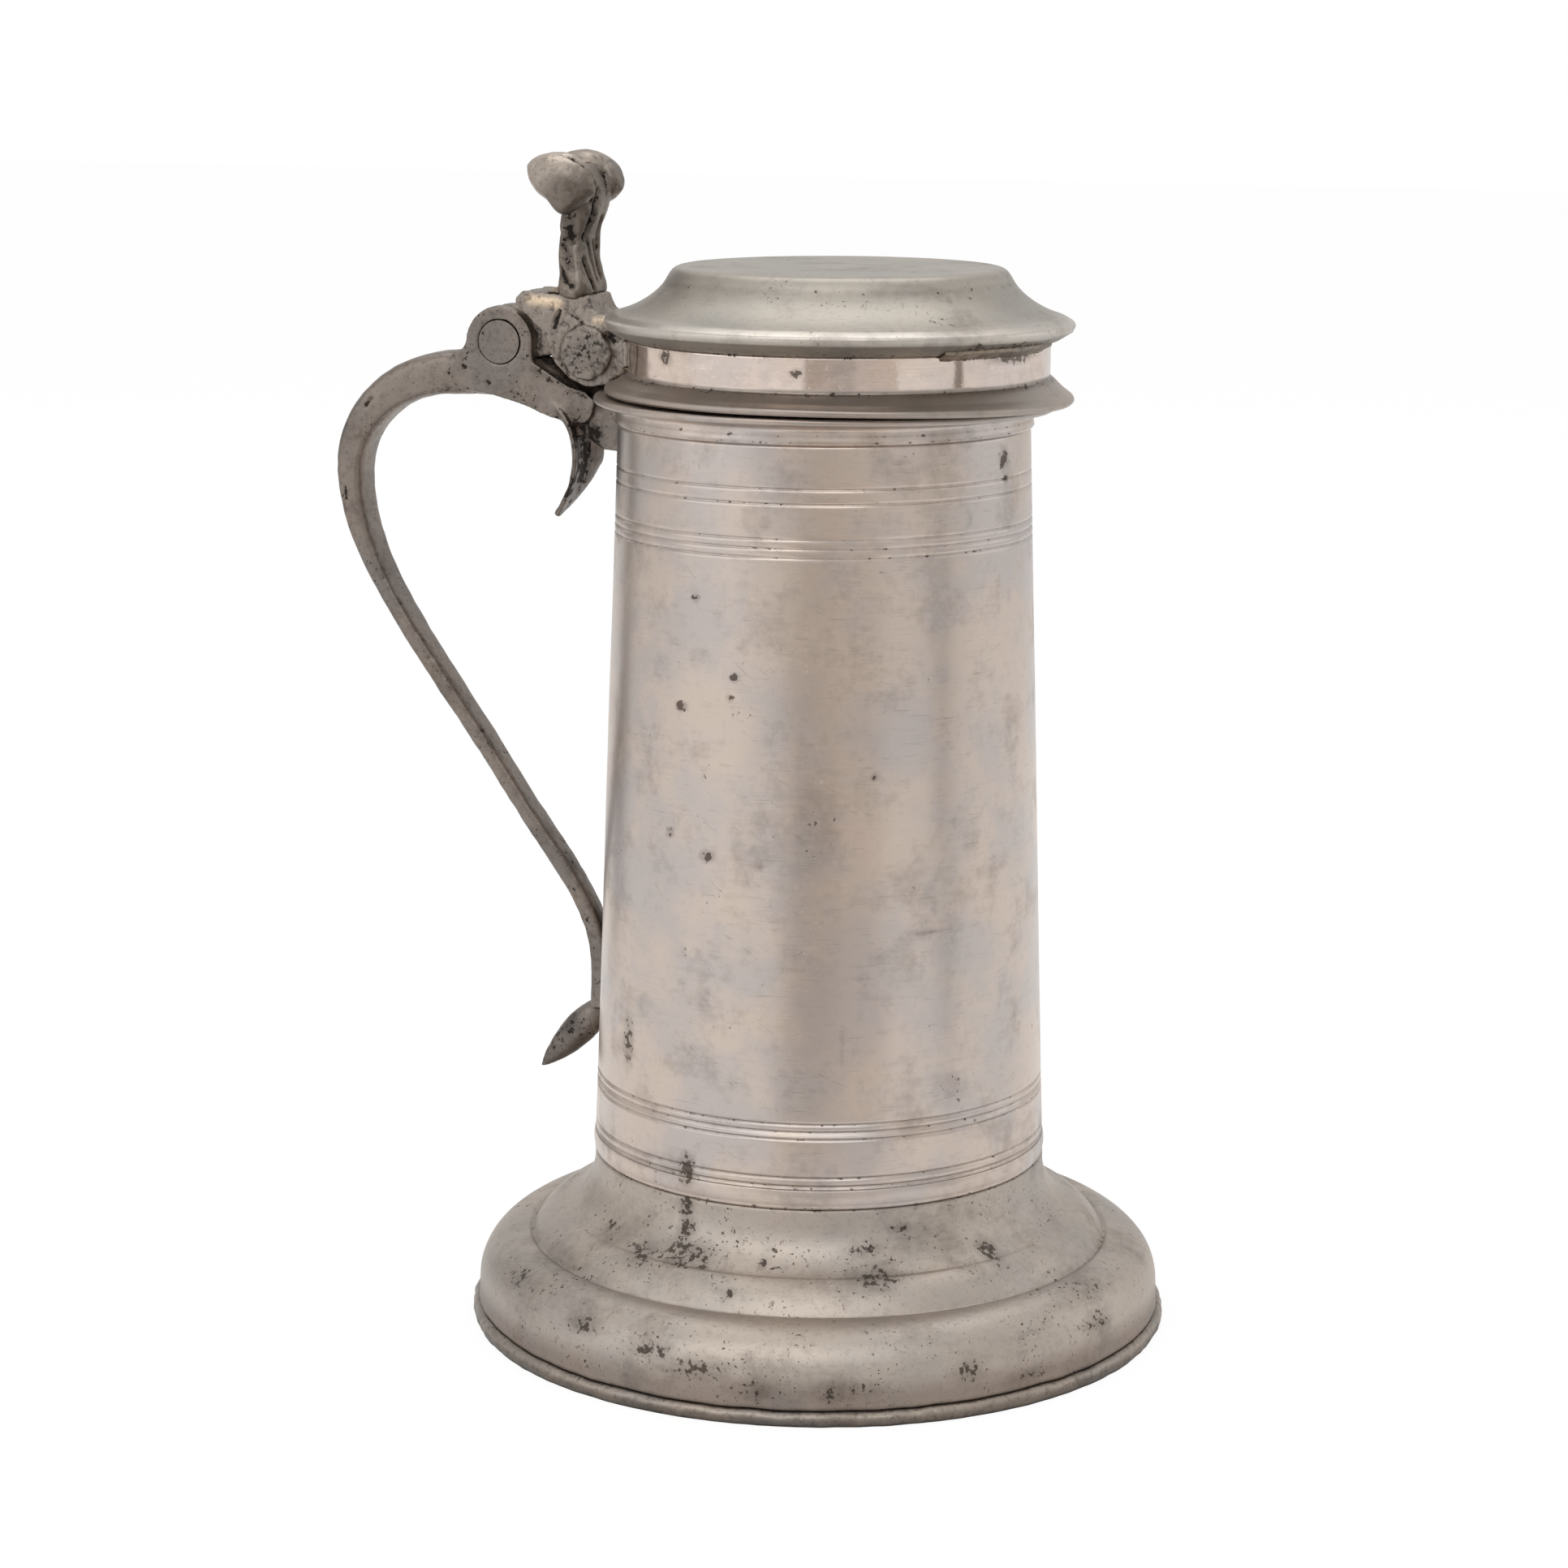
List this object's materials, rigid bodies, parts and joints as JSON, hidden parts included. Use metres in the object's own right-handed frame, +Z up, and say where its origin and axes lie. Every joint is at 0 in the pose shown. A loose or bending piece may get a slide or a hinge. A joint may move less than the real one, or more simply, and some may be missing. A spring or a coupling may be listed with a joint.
{
  "type": "lidded flagon",
  "caption": "Pewter flagon: tapering drum on a broad hollow foot, strap handle and a hinged double-brimmed lid with a twin-cusp thumbpiece.",
  "frame": {"origin": "centre of the foot's rest plane, on the drum's axis", "axes": "+Z up along the drum's axis, -X towards the handle, Y along the lid's hinge pin"},
  "size_m": [0.2105, 0.171, 0.2824],
  "materials": {
    "polished_pewter": "polished",
    "satin_pewter": "satin",
    "dark_pewter": "matte",
    "solder": "matte"
  },
  "bodies": {
    "flagon": {"drum": "polished_pewter", "mouth_rim": "polished_pewter", "floor_plate": "dark_pewter", "foot": "satin_pewter", "foot_ring": "dark_pewter", "foot_solder": "solder", "handle": "dark_pewter", "upper_handle_solder": "solder", "lower_handle_solder": "solder", "hinge_pin": "dark_pewter"},
    "lid": {"lid_collar": "polished_pewter", "lid_crown": "satin_pewter", "lid_bezel": "dark_pewter", "hinge_block": "dark_pewter", "hinge_solder": "solder", "thumbpiece": "dark_pewter", "thumbpiece_solder": "solder", "brim_repair": "solder"}
  },
  "joints": [
    {"name": "lid_hinge", "type": "hinge", "parent": "flagon", "child": "lid", "pos_m": [-0.0807, 0, 0.2368], "axis": [0, -1, 0], "range_deg": [0, 115]}
  ]
}
